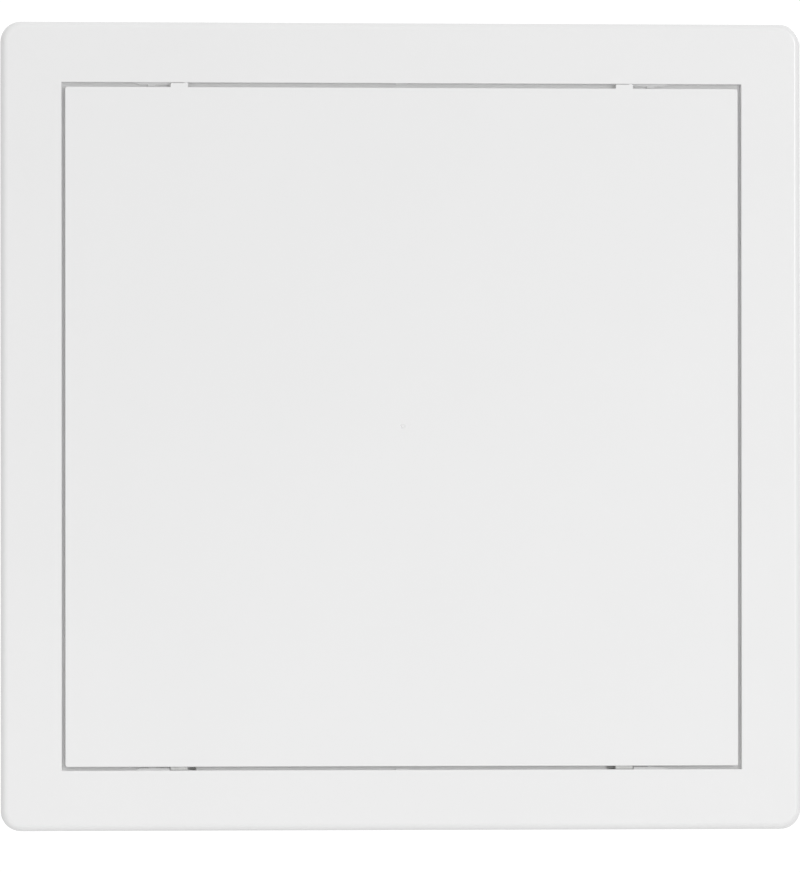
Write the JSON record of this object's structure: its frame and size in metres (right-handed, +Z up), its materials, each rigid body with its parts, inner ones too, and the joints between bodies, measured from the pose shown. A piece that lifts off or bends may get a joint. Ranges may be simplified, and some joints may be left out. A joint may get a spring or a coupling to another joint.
{
  "type": "ceiling access panel",
  "caption": "Square moulded ceiling access panel: a flanged frame with a mounting collar and a flush hinged door held shut by sprung latch bolts.",
  "frame": {"origin": "middle of the panel, in the plane of the flange's back where it meets the ceiling lining", "axes": "+X to the right of the face, +Z up the face towards the hinge, +Y into the ceiling void; the face looks along -Y. For a ceiling, turn the part a quarter turn about X"},
  "size_m": [0.318, 0.029, 0.318],
  "materials": {
    "white_moulding": "satin injection-moulded ABS",
    "acetal": "satin natural acetal",
    "plated_steel": "bright zinc plate",
    "spring_steel": "drawn spring wire"
  },
  "bodies": {
    "frame": {"frame": "white_moulding", "hinge_cap_left": "white_moulding", "hinge_cap_right": "white_moulding", "hinge_cap_screws": "plated_steel", "hinge_pin_left": "plated_steel", "hinge_pin_right": "plated_steel"},
    "door": {"door": "white_moulding", "hinge_arm_left": "acetal", "hinge_arm_right": "acetal", "hinge_arm_screws": "plated_steel", "latch_housing_left": "white_moulding", "latch_housing_right": "white_moulding", "latch_housing_screws": "plated_steel", "latch_spring_left": "spring_steel", "latch_spring_right": "spring_steel"},
    "latch_bolt_left": {"latch_bolt_left": "acetal"},
    "latch_bolt_right": {"latch_bolt_right": "acetal"}
  },
  "joints": [
    {"name": "door_hinge", "type": "hinge", "parent": "frame", "child": "door", "pos_m": [0, 0.0006, 0.14065], "axis": [-1, 0, 0], "range_deg": [0, 90]},
    {"name": "latch_left_slide", "type": "slide", "parent": "door", "child": "latch_bolt_left", "axis": [1, 0, 0], "range_m": [0, 0.003], "stiffness_N_per_m": 400, "springref_m": -0.004, "deforming": ["latch_spring_left"]},
    {"name": "latch_right_slide", "type": "slide", "parent": "door", "child": "latch_bolt_right", "axis": [-1, 0, 0], "range_m": [0, 0.003], "stiffness_N_per_m": 400, "springref_m": -0.004, "deforming": ["latch_spring_right"]}
  ]
}
